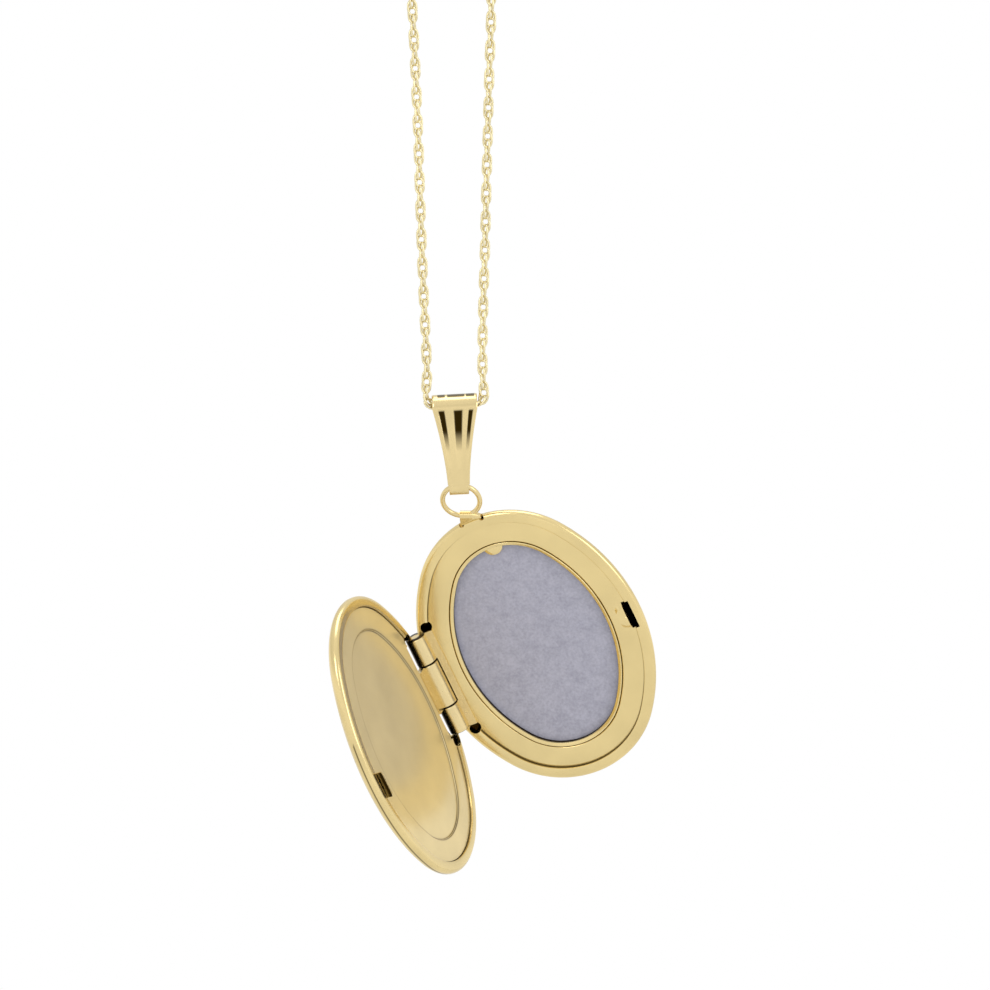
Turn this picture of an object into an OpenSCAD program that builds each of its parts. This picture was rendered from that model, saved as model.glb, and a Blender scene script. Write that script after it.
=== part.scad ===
// Open oval locket on a pinch bail and a fine rope-link chain, hanging as it is worn.
// World frame: +X right, -Y towards the viewer, +Z up. The origin is where a hook or peg
// bears inside the top of the chain loop. Millimetres.
// Locket frame: X from hinge to catch, Y from foot to hanging ring, Z out of the rear half
// towards the front cover, with the parting plane at Z = 0.

/* [Locket] */
// Length of the oval, foot to hanging ring
case_len = 26; // [16:0.5:40]
// Width of the oval, hinge to catch
case_wide = 19.8; // [12:0.1:30]
// Depth of each half behind the parting plane
half_deep = 2.2; // [1.8:0.1:4]
// Thickness of the pressed gold sheet
sheet = 0.3; // [0.2:0.05:0.5]
// Width of the flat land around each half's mouth
land = 1.0; // [0.6:0.1:1.6]
// Radius of the oval's two tight end arcs
end_r = 8.35; // [6:0.05:9]

/* [Picture frame] */
// Drop from the land to the broad ring around the picture
ring_drop = 0.3; // [0.3:0.05:0.8]
// Distance from the oval's edge to the picture well
well_in = 2.9; // [2:0.1:4]
// Width of the bevelled retaining frame
bevel = 0.35; // [0.3:0.05:1.2]
// Thickness of the picture card
card_thick = 0.15; // [0.1:0.05:0.4]

/* [Hinge] */
// Distance of the hinge axis from the oval's centre line
hinge_x = 9.4; // [6:0.1:15]
// Radius of the knuckles
knuckle_r = 0.9; // [0.6:0.05:1.4]
// Radius of the hinge pin
pin_r = 0.4; // [0.2:0.05:0.6]
// Length of the cover's middle knuckle
mid_knuckle = 4.2; // [2:0.1:8]
// Length of each rear end knuckle
end_knuckle = 2.6; // [1:0.1:5]
// How far the cover stands open, in degrees
open_angle = 100.5; // [0:0.5:125]

/* [Bail and ring] */
// Width of the bail where the chain runs through it
bail_top = 3.9; // [2:0.1:8]
// Width of the bail above its fold
bail_foot = 1.9; // [1:0.1:4]
// Height of the bail from its fold to its crown
bail_tall = 8.7; // [5:0.1:14]
// Outer radius of the hanging ring
ring_or = 1.84; // [1.5:0.02:2.5]
// Radius of the hanging ring's wire
ring_wire = 0.225; // [0.15:0.025:0.3]

/* [Chain and clasp] */
// Diameter of the rope-link chain
chain_d = 1.0; // [0.6:0.05:2]
// Outer radius of the spring-ring clasp
clasp_or = 2.75; // [2:0.05:5]
// Radius of the spring-ring's tube
clasp_tube = 0.6; // [0.4:0.05:1]

/* [Pose] */
// Sideways swing of the locket under its ring, in degrees
swing = 26; // [0:1:45]
// Nod of the locket, its ring end towards the viewer, in degrees
nod = 19; // [0:1:30]
// Turn of the locket about its length, catch towards the viewer, in degrees
turn = 15.5; // [0:0.5:40]

/* [Hidden] */
$fn = 64;
gap = 0.05;
gold = [0.89, 0.79, 0.52];
pale_gold = [0.93, 0.86, 0.66];
grey_card = [0.63, 0.63, 0.69];
steel = [0.7, 0.7, 0.72];

// The oval is four tangent arcs: two end arcs and two side arcs.
half_len = case_len / 2;
half_wide = case_wide / 2;
end_y = half_len - end_r;
side_r = (half_len * half_len - 2 * half_len * end_r + half_wide * half_wide)
    / (2 * (half_wide - end_r));
side_x = side_r - half_wide;
side_ang = atan2(end_y, side_x);

// Section of a pressed half: rounded lip, short wall, then a roll into the flat back.
lip_r = 0.25;
wall_deep = 0.5;
roll_in = 6.8;
roll_steps = 8;
stations = 72;

// Inner plates of both halves: they reach out under the land, and leave a seam beside it.
pan = 0.25;
plate_out = 0.6;
plate_overlap = 0.3;
seam = 0.02;

// Picture well, measured down from the parting plane, and the ledge that the card lies on.
well_floor = -1.0;
ledge = 1.4;
card_in = well_in + 0.25;
tab_r = 0.85;
frame_edge = 0.35;

// Cover lining: a broad ring, then a flat panel, measured up from the parting plane.
lining_ring = gap + 0.2;
lining_panel = gap + 0.35;
lining_in = 3.0;

// The catch: a tab on the cover, a window in the rear half and a half-moon nib beside it.
catch_y = -0.4;
window_half = 1.3;
window_out = 0.7;
window_in = 1.4;
nib_r = 1.2;
nib_wide = 0.75;
nib_tall = 0.3;
catch_out = 1.1;
catch_thick = 0.2;
catch_tall = 0.45;
catch_bead = 0.06;

// Hinge stations along the axis.
mid_end = mid_knuckle / 2;
end_start = mid_end + gap;
end_stop = end_start + end_knuckle;
hinge_end = end_stop + 0.1;
clear_r = knuckle_r + 0.08;
hinge_cut = 1.6;
leaf_reach = 1.9;
leaf_thick = 0.25;
notch_in = 1.1;
relief_x = 1.25;
relief_y = end_stop + 0.4;
relief_r = 0.5;
through_low = -0.6;
through_tall = 1.25;

// Hanging ring and its tab. The ring is soldered in with a roll to one side and a tip forward.
ring_c = [-0.2, half_len + 2.05, 0.22];
ring_roll = -22;
ring_tip = 13.4;
tab_x = -0.3;
tab_wide = 1.9;
tab_in = 0.2;
tab_corner_r = 0.2;
seat_deep = 0.7;
eye_half = 0.55;
eye_side = 0.35;
eye_cover = 0.42;

// Bail: tunnel at the top, fold at the foot, both measured in the bail's own frame.
bail_sheet = 0.28;
tunnel_r = 0.97;
fold_r = 0.5;
fold_half = 0.85;
waist = 1.55;
crown_z = -56.1;
tunnel_z = crown_z - tunnel_r - bail_sheet;
fold_z = 2 * bail_sheet + fold_r + tunnel_r - bail_tall;
bail_x = 0.46;
bail_lean = 3;
flute_cut = 0.14;
flute_long = 5.2;
flute_steps = 4;

// Hanging ring's centre in the world.
ring_at = [1.0, 0.97, -65.29];

// Clasp: angles run anticlockwise from +X as the viewer sees the ring.
clasp_wire = 0.34;
clasp_bore = 0.38;
gate_from = 180;
gate_to = 222;
lever_from = 140;
lever_travel = 40;
nub_at = 153;
spring_from = 44;
spring_to = 99;
clasp_path = clasp_or - clasp_tube;
link_or = 0.8;
link_wire = 0.175;
end_ring_or = 1.4;
end_ring_wire = 0.22;
eye_or = 0.85;
eye_wire = 0.2;
jump_or = 1.1;
jump_wire = 0.2;
play = 0.03;

// Heights of the clasp's rings above the foot of its lower link, each hanging in the next.
low_link_z = link_or;
end_ring_z = low_link_z + link_or - 2 * link_wire - play - 2 * end_ring_wire + end_ring_or;
clasp_z = end_ring_z + end_ring_or - 2 * end_ring_wire - play - 2 * clasp_tube + clasp_or;
eye_z = clasp_z + clasp_or + eye_or - 0.2;
jump_z = eye_z + eye_or - 2 * eye_wire - play - 2 * jump_wire + jump_or;
high_link_z = jump_z + jump_or - 2 * jump_wire - play - 2 * link_wire + link_or;
clasp_foot = [3.6, 0, -21.2];
clasp_lean = 1.5;

// The chain's centre line, from the clasp's lower link down the right strand, through the
// bail, up the left strand and over the hook to the clasp's upper link.
route = [
    [3.60, 0, -21.1], [3.57, 0, -24.0], [3.44, 0, -28.0], [3.31, 0, -33.0], [3.18, 0, -38.0],
    [3.05, 0, -43.5], [2.92, 0, -48.0], [2.84, 0, -52.0], [2.86, 0, -54.6], [2.95, 0, -55.8],
    [2.95, 0, -56.35], [2.70, 0, -56.82], [2.20, 0, -57.0], [0.46, 0, -57.03],
    [-1.28, 0, -57.06], [-1.78, 0, -56.88], [-2.04, 0, -56.4], [-2.04, 0, -55.8],
    [-1.95, 0, -54.6], [-2.03, 0, -52.0],
    [-2.22, 0, -48.0], [-2.40, 0, -43.5], [-2.58, 0, -38.0], [-2.74, 0, -33.0],
    [-2.96, 0, -28.0], [-3.26, 0, -22.0], [-3.56, 0, -16.0], [-3.84, 0, -10.0],
    [-4.02, 0, -5.5], [-4.05, 0, -3.5], [-3.51, 0, -1.48], [-2.03, 0, 0.01], [0, 0, 0.55],
    [2.03, 0, 0.01], [3.51, 0, -1.48], [4.05, 0, -3.5], [4.02, 0, -5.5], [3.95, 0, -8.0],
    [3.90, 0, -10.4],
];
ring_gap = 3.2;

// ---------- oval tools ----------

// The oval's outline, drawn a distance inside its edge.
module oval(inset) {
    small = end_r - inset;
    big = side_r - inset;
    for (s = [-1, 1]) translate([0, s * end_y]) circle(small, $fn = 128);
    intersection() {
        translate([-side_x, 0]) circle(big, $fn = 256);
        translate([side_x, 0]) circle(big, $fn = 256);
        square([case_wide, 2 * (end_y + small * sin(side_ang))], center = true);
    }
}

module oval_plate(inset, low, thick) {
    translate([0, 0, low]) linear_extrude(thick) oval(inset);
}

// An upright band that follows the oval between two insets and two heights.
module band(outside, inside, low, high) {
    translate([0, 0, low]) linear_extrude(high - low) difference() {
        oval(outside);
        oval(inside);
    }
}

// The point of the oval whose outward normal has a given bearing.
function oval_point(a, inset) =
    let (side = abs(cos(a)) > cos(side_ang))
        (side ? [-sign(cos(a)) * side_x, 0] : [0, sign(sin(a)) * end_y])
        + ((side ? side_r : end_r) - inset) * [cos(a), sin(a)];

// Levels of the rolled back, from its wall to its flat: a quarter of an ellipse, grown
// inwards by the sheet's thickness. Each level is an inset and a height.
function roll(thick) = [
    for (i = [0:roll_steps]) let (a = 90 * i / roll_steps)
        [thick + (roll_in - thick) * (1 - cos(a)), -wall_deep - (half_deep - wall_deep - thick) * sin(a)]
];

function backwards(list) = [for (i = [len(list) - 1:-1:0]) list[i]];

// Faces of a skin over rings of n points each, with flat ends.
function skin_walls(rings, n) = [
    for (k = [0:rings - 2]) for (j = [0:n - 1])
        let (a = k * n + j, b = k * n + (j + 1) % n)
            each [[a, b, b + n], [a, b + n, a + n]]
];
function skin_faces(rings, n) = concat(
    [[for (j = [0:n - 1]) n - 1 - j]],
    skin_walls(rings, n),
    [[for (j = [0:n - 1]) (rings - 1) * n + j]]
);

// Faces of a skin that closes on itself both ways.
function loop_faces(rings, n) = [
    for (k = [0:rings - 1]) for (j = [0:n - 1])
        let (k1 = (k + 1) % rings, j1 = (j + 1) % n)
            each [[k * n + j, k * n + j1, k1 * n + j1], [k * n + j, k1 * n + j1, k1 * n + j]]
];

// One pressed half, mouth upwards: a skin from the flat of the back, out over the roll and
// the lip, and back down the inside.
module pressed_half() {
    levels = concat(
        backwards(roll(0)),
        [[0, -lip_r], [0.3 * lip_r, -0.3 * lip_r], [lip_r, 0], [land, 0], [land, -sheet], [sheet, -sheet]],
        roll(sheet)
    );
    points = [
        for (p = levels) for (j = [0:stations - 1])
            let (q = oval_point(-360 * j / stations, p[0])) [q[0], q[1], p[1]]
    ];
    polyhedron(points, skin_faces(len(levels), stations));
}

// A cylinder along the hinge axis.
module on_hinge(r, from, to) {
    translate([-hinge_x, from, 0]) rotate([-90, 0, 0]) cylinder(r = r, h = to - from, $fn = 128);
}

// Puts a piece made in the locket frame where the locket hangs.
module hang_locket() {
    translate(ring_at)
        rotate([0, -swing, 0]) rotate([90 + nod, 0, 0]) rotate([0, -turn, 0])
            translate(-ring_c) children();
}

// Turns a piece made in the closed position with the opened cover.
module open_cover() {
    hang_locket()
        translate([-hinge_x, 0, 0]) rotate([0, -open_angle, 0]) translate([hinge_x, 0, 0])
            children();
}

// Ring of wire lying in the XY plane; as_front and as_side stand it up.
module wire_ring(outer, wire) {
    rotate_extrude() translate([outer - wire, 0]) circle(wire, $fn = 24);
}

module as_front() {
    rotate([90, 0, 0]) children();
}

module as_side() {
    rotate([0, 90, 0]) children();
}

// Room for the knuckles: snug where one is soldered in, clear where one turns.
module hinge_room(snug_from, snug_to, turn_from, turn_to) {
    on_hinge(knuckle_r, snug_from, snug_to);
    on_hinge(clear_r, turn_from, turn_to);
}

// Relief holes at the two ends of a half's hinge cut.
module reliefs() {
    for (s = [-1, 1]) translate([relief_x - hinge_x, s * relief_y, through_low])
        cylinder(r = relief_r, h = through_tall);
}

// ---------- rear half ----------

module catch_window() {
    translate([half_wide - window_in, catch_y - window_half, through_low])
        cube([window_in - window_out, 2 * window_half, through_tall]);
}

module rear_case() {
    color(gold) hang_locket() difference() {
        pressed_half();
        hinge_room(-end_stop, end_stop, -end_start, end_start);
        // The land is cut away along the hinge.
        translate([-hinge_x, -end_stop, -sheet - 0.05]) cube([hinge_cut, 2 * end_stop, 1]);
        reliefs();
        // Seat for the ring's tab, with a relief hole in each corner.
        translate([tab_x - tab_wide / 2, half_len - tab_in, -seat_deep]) cube([tab_wide, 2, 1]);
        for (s = [-1, 1]) translate([tab_x + s * tab_wide / 2, half_len - tab_in, -seat_deep])
            cylinder(r = tab_corner_r, h = 1);
        catch_window();
    }
}

module rear_ring() {
    color(gold) hang_locket() difference() {
        union() {
            band(plate_out, well_in, -ring_drop - pan, -ring_drop);
            band(well_in - pan, well_in, well_floor - pan, -ring_drop);
            band(well_in - pan, well_in + ledge, well_floor - pan, well_floor);
        }
        on_hinge(clear_r, -hinge_end, hinge_end);
        reliefs();
        catch_window();
    }
}

module catch_nib() {
    at = half_wide - window_in;
    color(gold) hang_locket() intersection() {
        translate([at, catch_y, -ring_drop]) rotate_extrude()
            polygon([[0, 0], [nib_r, 0], [0.75 * nib_r, 0.8 * nib_tall], [0, nib_tall]]);
        translate([at - nib_wide, catch_y - nib_r, -1]) cube([nib_wide, 2 * nib_r, 2]);
    }
}

// The retaining frame: a bevelled section carried round the oval, with a thumbnail tab at
// the ring end.
module photo_frame() {
    out = well_in + gap;
    low = well_floor + card_thick;
    section = [
        [out, low], [out, -ring_drop], [out + 0.1, -ring_drop],
        [out + bevel, low + frame_edge], [out + bevel, low],
    ];
    points = [
        for (p = section) for (j = [0:stations - 1])
            let (q = oval_point(-360 * j / stations, p[0])) [q[0], q[1], p[1]]
    ];
    tab_y = half_len - out - bevel + 0.1;
    color(gold) hang_locket() union() {
        polyhedron(points, loop_faces(len(section), stations));
        intersection() {
            translate([0, tab_y, low]) cylinder(r = tab_r, h = frame_edge);
            translate([-tab_r, tab_y - 2 * tab_r, low]) cube([2 * tab_r, 2 * tab_r + 0.1, 1]);
        }
    }
}

module picture_card() {
    color(grey_card) hang_locket() oval_plate(card_in, well_floor, card_thick);
}

// ---------- hinge ----------

// A rear knuckle, filed to follow the oval.
module rear_knuckle(from, to) {
    color(pale_gold) hang_locket() difference() {
        intersection() {
            on_hinge(knuckle_r, from, to);
            oval_plate(-0.45, -3, 6);
        }
        on_hinge(pin_r, from - 1, to + 1);
    }
}

module rear_knuckle_upper() {
    rear_knuckle(end_start, end_stop);
}

module rear_knuckle_lower() {
    rear_knuckle(-end_stop, -end_start);
}

// Strip that backs the knuckles, lying on the rear ring where the land is cut away.
module rear_hinge_leaf() {
    color(gold) hang_locket() difference() {
        translate([-hinge_x, -end_stop, -ring_drop]) cube([hinge_cut, 2 * end_stop, leaf_thick]);
        hinge_room(-end_stop - 1, end_stop + 1, -end_start, end_start);
    }
}

module hinge_pin() {
    color(pale_gold) hang_locket() on_hinge(pin_r, -end_stop, end_stop);
}

module cover_knuckle() {
    color(pale_gold) open_cover() difference() {
        on_hinge(knuckle_r, -mid_end, mid_end);
        on_hinge(pin_r + gap, -mid_end - 1, mid_end + 1);
    }
}

// Strip that carries the middle knuckle from the cover's lining.
module cover_hinge_leaf() {
    color(gold) open_cover() difference() {
        translate([-hinge_x, -mid_end, gap + sheet - leaf_thick]) cube([leaf_reach, mid_knuckle, leaf_thick]);
        on_hinge(knuckle_r, -mid_end - 1, mid_end + 1);
    }
}

// ---------- front cover ----------

module front_cover() {
    color(gold) open_cover() difference() {
        translate([0, 0, gap]) mirror([0, 0, 1]) pressed_half();
        on_hinge(knuckle_r, -mid_end, mid_end);
        for (s = [0, 1]) mirror([0, s, 0]) on_hinge(clear_r, mid_end, hinge_end);
        translate([-hinge_x, -hinge_end, -0.5]) cube([hinge_cut, 2 * hinge_end, 0.5 + gap + sheet + 0.05]);
        // The roll is notched right through, clear of the knuckles.
        translate([-half_wide - 1, -hinge_end, 0]) cube([1 + notch_in, 2 * hinge_end, half_deep + 1]);
        reliefs();
    }
}

// The plate that lines the cover: a broad ring and a flat panel a little deeper.
module cover_lining() {
    color(gold) open_cover() difference() {
        union() {
            band(plate_out, land + plate_overlap, gap + sheet, gap + sheet + pan);
            band(land + seam, lining_in, lining_ring, lining_ring + pan);
            oval_plate(lining_in - pan, lining_panel, pan);
        }
        on_hinge(clear_r, -hinge_end, hinge_end);
        reliefs();
        // It is cut back beside the leaf, which lies in a shallow seat.
        translate([-hinge_x, -mid_end - seam, -1])
            cube([leaf_reach + seam, mid_knuckle + 2 * seam, 1 + gap + sheet]);
        for (s = [0, 1]) mirror([0, s, 0]) {
            translate([-half_wide, mid_end, -1])
                cube([half_wide - hinge_x + leaf_reach, hinge_end - mid_end, 2]);
            translate([-half_wide, mid_end, -1])
                cube([half_wide - hinge_x + relief_x, relief_y - mid_end, 2]);
        }
    }
}

// The tab that snaps into the rear half's window, with a bead along its outer face.
module cover_catch() {
    out = half_wide - catch_out;
    in = out - catch_thick;
    color(gold) open_cover() translate([0, catch_y + window_half - 0.1, 0]) rotate([90, 0, 0])
        linear_extrude(2 * window_half - 0.2) polygon([
            [in, lining_ring], [in, -catch_tall + 0.1], [in + 0.05, -catch_tall], [out, -catch_tall],
            [out + catch_bead, -catch_tall + 0.12], [out, -catch_tall + 0.24], [out, lining_ring],
        ]);
}

// ---------- ring and bail ----------

// Puts a piece made round the hanging ring's own centre where the ring is soldered in.
module at_ring() {
    translate(ring_c) rotate([0, 0, ring_roll]) rotate([ring_tip, 0, 0]) children();
}

// A plate in the case's edge that swells into an eye round the foot of the ring.
module ring_tab() {
    color(gold) hang_locket() difference() {
        hull() {
            translate([tab_x - tab_wide / 2, half_len - tab_in, -0.6]) cube([tab_wide, 0.2, 0.58]);
            at_ring() translate([eye_side - eye_half, ring_wire - ring_or, 0]) rotate([0, 90, 0])
                cylinder(r = eye_cover, h = 2 * eye_half, $fn = 32);
        }
        at_ring() wire_ring(ring_or, ring_wire);
    }
}

module hanging_ring() {
    color(pale_gold) hang_locket() at_ring() wire_ring(ring_or, ring_wire);
}

// Stations of the bail's loop, anticlockwise from the front of the crown as seen from +X:
// each is a point on the inner side outline, then its outward normal.
function loop_arc(r, y, from, to, n) = [
    for (i = [0:n]) let (a = from + (to - from) * i / n) [[r * cos(a), y + r * sin(a)], [cos(a), sin(a)]]
];
bail_slope = asin((tunnel_r - fold_r) / -fold_z);
function leg_steps(p, q, n) = [for (i = [1:n - 1]) [p[0] + (q[0] - p[0]) * i / n, p[1]]];
function bail_loop() =
    let (
        crown = loop_arc(tunnel_r, 0, -bail_slope, 180 + bail_slope, 16),
        fold = loop_arc(fold_r, fold_z, 180 + bail_slope, 360 - bail_slope, 10)
    )
        concat(crown, leg_steps(crown[16], fold[0], 9), fold, leg_steps(fold[10], crown[0], 9));

// Half the bail's width at a height above the tunnel's centre: a waisted taper, then the fold.
function bail_half(z) =
    let (t = min(max(z / fold_z, 0), 1))
        z < fold_z ? fold_half : (bail_foot + (bail_top - bail_foot) * pow(1 - t, waist)) / 2;

// Depth of the three flutes: full over the crown, fading out down each face.
function flute(across, z) =
    let (f = 3 * across - floor(3 * across), fade = min(max(1 + z / flute_long, 0), 1))
        flute_cut * 4 * f * (1 - f) * fade * (2 - fade);

module bail() {
    loop = bail_loop();
    n = len(loop);
    m = flute_steps * 3;
    points = [
        for (st = loop)
            let (p = st[0], out = st[1], w = bail_half(p[1] + 0.02))
                each concat(
                    [for (j = [0:m])
                        let (q = p + (bail_sheet - flute(j / m, p[1])) * out)
                            [w * (2 * j / m - 1), q[0], q[1]]],
                    [[w, p[0], p[1]], [-w, p[0], p[1]]]
                )
    ];
    c = m + 3;
    faces = [
        for (k = [0:n - 1]) for (j = [0:c - 1])
            let (a = k * c + j, b = k * c + (j + 1) % c, d = (k + 1) % n * c - k * c)
                each [[a, b, b + d], [a, b + d, a + d]]
    ];
    color(pale_gold) translate([bail_x, 0, tunnel_z]) rotate([0, -bail_lean, 0]) polyhedron(points, faces);
}

// ---------- chain and clasp ----------

// Length of the route up to each point, and the point at a given length along it.
function run(p, i = 0, sum = 0) =
    i >= len(p) - 1 ? [sum] : concat([sum], run(p, i + 1, sum + norm(p[i + 1] - p[i])));
runs = run(route);
function leg(s, i = 0) = i >= len(route) - 2 || runs[i + 1] > s ? i : leg(s, i + 1);
function tangent(i) =
    let (a = max(i - 1, 0), b = min(i + 1, len(route) - 1))
        (route[b] - route[a]) / (runs[b] - runs[a]);
// Smooth curve through the points: a Hermite span on each leg.
function along(s) =
    let (i = leg(s), h = runs[i + 1] - runs[i], t = (s - runs[i]) / h)
        route[i] * (2 * t * t * t - 3 * t * t + 1) + tangent(i) * h * (t * t * t - 2 * t * t + t)
        + route[i + 1] * (3 * t * t - 2 * t * t * t) + tangent(i + 1) * h * (t * t * t - t * t);
function heading(s) =
    let (v = along(min(s + 0.05, runs[len(runs) - 1])) - along(max(s - 0.05, 0))) v / norm(v);

// Lengths along the route at which the tube has a ring: every route point, and the long
// legs cut up evenly.
stops = [
    for (i = [0:len(route) - 2]) let (h = runs[i + 1] - runs[i], n = ceil(h / ring_gap))
        for (k = [0:n - 1]) runs[i] + h * k / n,
    runs[len(runs) - 1],
];

module tube(r, sides) {
    points = [
        for (s = stops) let (d = heading(s), p = along(s), u = [d[2], 0, -d[0]])
            for (j = [0:sides - 1]) let (a = 360 * (j + 0.5) / sides)
                p + r * (cos(a) * u + [0, sin(a), 0])
    ];
    polyhedron(points, skin_faces(len(stops), sides));
}

module chain() {
    color(pale_gold) tube(chain_d / 2, 8);
}

// Puts a clasp piece at its height on the right strand.
module on_strand(z) {
    translate(clasp_foot) rotate([0, clasp_lean, 0]) translate([0, 0, z]) children();
}

module end_link_lower() {
    color(pale_gold) on_strand(low_link_z) as_front() wire_ring(link_or, link_wire);
}

module end_ring() {
    color(pale_gold) on_strand(end_ring_z) as_side() wire_ring(end_ring_or, end_ring_wire);
}

// A stretch of round bar along the clasp's ring, between two angles.
module clasp_arc(r, from, to) {
    rotate([0, 0, from]) rotate_extrude(angle = to - from)
        translate([clasp_path, 0]) circle(r, $fn = 24);
}

module clasp_ring() {
    slot_from = nub_at - lever_travel - 8;
    color(gold) on_strand(clasp_z) as_front() difference() {
        clasp_arc(clasp_tube, gate_to, gate_from + 360);
        clasp_arc(clasp_bore, spring_from, gate_from + 1);
        clasp_arc(clasp_bore, gate_to - 1, gate_to + 6);
        rotate([0, 0, slot_from]) rotate_extrude(angle = lever_travel + 16)
            translate([clasp_path, -0.2]) square([2, 0.4]);
    }
}

module clasp_lever() {
    color(gold) on_strand(clasp_z) as_front() {
        clasp_arc(clasp_wire, lever_from, gate_to + 2);
        rotate([0, 0, nub_at - 3.5]) rotate_extrude(angle = 7)
            translate([clasp_path, -0.15]) square([clasp_tube + 0.55, 0.3]);
    }
}

// Coil spring, drawn as the sleeve that its turns fill when the gate is fully open.
module clasp_spring() {
    color(steel) on_strand(clasp_z) as_front() rotate([0, 0, spring_from + 0.5])
        rotate_extrude(angle = spring_to - spring_from - 0.5) translate([clasp_path, 0]) difference() {
            circle(0.33, $fn = 24);
            circle(0.2, $fn = 24);
        }
}

module clasp_eye() {
    color(gold) on_strand(eye_z) as_front() wire_ring(eye_or, eye_wire);
}

module clasp_jump_ring() {
    color(pale_gold) on_strand(jump_z) as_side() wire_ring(jump_or, jump_wire);
}

module end_link_upper() {
    color(pale_gold) on_strand(high_link_z) as_front() wire_ring(link_or, link_wire);
}

rear_case();
rear_ring();
photo_frame();
picture_card();
catch_nib();
rear_knuckle_upper();
rear_knuckle_lower();
rear_hinge_leaf();
hinge_pin();
front_cover();
cover_lining();
cover_catch();
cover_knuckle();
cover_hinge_leaf();
ring_tab();
hanging_ring();
bail();
chain();
end_link_lower();
end_ring();
clasp_ring();
clasp_eye();
clasp_lever();
clasp_spring();
clasp_jump_ring();
end_link_upper();
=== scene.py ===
# Open oval locket on a fluted bail and a rope-link chain. Metres, in the CAD frame.
# Profiles and routes are written in millimetres and scaled by MM.
import math

import bmesh
import bpy
from mathutils import Matrix, Vector


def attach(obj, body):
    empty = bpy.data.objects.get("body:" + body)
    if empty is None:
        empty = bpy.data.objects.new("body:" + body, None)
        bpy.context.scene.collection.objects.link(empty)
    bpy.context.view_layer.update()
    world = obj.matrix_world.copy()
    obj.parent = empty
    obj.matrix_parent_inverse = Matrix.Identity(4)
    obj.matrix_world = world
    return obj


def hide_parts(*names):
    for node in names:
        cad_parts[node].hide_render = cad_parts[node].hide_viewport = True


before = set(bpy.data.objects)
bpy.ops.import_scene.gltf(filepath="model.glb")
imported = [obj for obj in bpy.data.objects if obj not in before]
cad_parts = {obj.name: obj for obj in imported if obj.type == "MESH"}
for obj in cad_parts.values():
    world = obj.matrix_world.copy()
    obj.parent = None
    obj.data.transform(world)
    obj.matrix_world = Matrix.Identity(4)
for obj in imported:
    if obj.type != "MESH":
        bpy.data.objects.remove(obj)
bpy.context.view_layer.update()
MM = 0.001


# ---------- helpers ----------

def rot(axis, degrees):
    return Matrix.Rotation(math.radians(degrees), 4, axis)


def move(x, y, z):
    return Matrix.Translation((x, y, z))


# The locket's own frame: X from hinge to catch, Y from foot to ring, Z out of the rear half.
RING_AT = (1.0, 0.97, -65.29)
RING_C = Vector((-0.2, 15.05, 0.22))
HINGE_X = 9.4
OPEN = 100.5
LOCKET = move(*RING_AT) @ rot("Y", -26) @ rot("X", 109) @ rot("Y", -15.5) @ move(*(-RING_C))
COVER = LOCKET @ move(-HINGE_X, 0, 0) @ rot("Y", -OPEN) @ move(HINGE_X, 0, 0)

HALF_LEN, HALF_WIDE, END_R = 13.0, 9.9, 8.35
END_Y = HALF_LEN - END_R
SIDE_R = (HALF_LEN ** 2 - 2 * HALF_LEN * END_R + HALF_WIDE ** 2) / (2 * (HALF_WIDE - END_R))
SIDE_X = SIDE_R - HALF_WIDE
SIDE_ANG = math.atan2(END_Y, SIDE_X)


def oval(a, inset):
    """A point of the locket's four-arc outline, moved in by an inset."""
    c, s = math.cos(a), math.sin(a)
    if abs(c) > math.cos(SIDE_ANG):
        return -math.copysign(SIDE_X, c) + (SIDE_R - inset) * c, (SIDE_R - inset) * s
    return (END_R - inset) * c, math.copysign(END_Y, s) + (END_R - inset) * s


def build(name, verts, faces, material, smooth=40.0):
    """A mesh piece from points in millimetres."""
    mesh = bpy.data.meshes.new(name)
    mesh.from_pydata([tuple(Vector(v) * MM) for v in verts], [], faces)
    bm = bmesh.new()
    bm.from_mesh(mesh)
    bmesh.ops.recalc_face_normals(bm, faces=bm.faces)
    bm.to_mesh(mesh)
    bm.free()
    obj = bpy.data.objects.new(name, mesh)
    bpy.context.collection.objects.link(obj)
    mesh.materials.append(material)
    shade(mesh, smooth)
    return obj


def shade(mesh, angle):
    """Smooth faces, with edges sharper than the angle kept crisp."""
    mesh.polygons.foreach_set("use_smooth", [True] * len(mesh.polygons))
    mesh.set_sharp_from_angle(angle=math.radians(angle))
    mesh.update()


def band(a, b, n):
    """Quads between two closed rows of n points, which start at a and at b."""
    return [(a + j, a + (j + 1) % n, b + (j + 1) % n, b + j) for j in range(n)]


def darken(obj, values):
    """How much painted shade each point carries, from 0 to 1, which the gold reads."""
    obj.data.attributes.new("shade", "FLOAT", "POINT").data.foreach_set("value", values)


def loft(name, levels, place, material, n=288, loop=False, smooth=40.0, shade_at=None):
    """A skin carried round the oval. Each level is an inset, a height and how much painted shade it
    carries.
    """
    verts, dark = [], []
    for level in levels:
        inset, z = level[:2]
        for j in range(n):
            x, y = oval(2 * math.pi * (j + 0.5) / n, inset)
            verts.append(place @ Vector((x, y, z)))
            extra = shade_at(x, y, z) if shade_at else 0.0
            dark.append(max(extra, level[2] if len(level) > 2 else 0.0))
    faces = []
    for k in range(len(levels) if loop else len(levels) - 1):
        a, b = k * n, (k + 1) % len(levels) * n
        faces += band(a, b, n)
    if not loop:
        faces.append(tuple(range(n))[::-1])
        faces.append(tuple((len(levels) - 1) * n + j for j in range(n)))
    obj = build(name, verts, faces, material, smooth)
    darken(obj, dark)
    return obj


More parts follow.
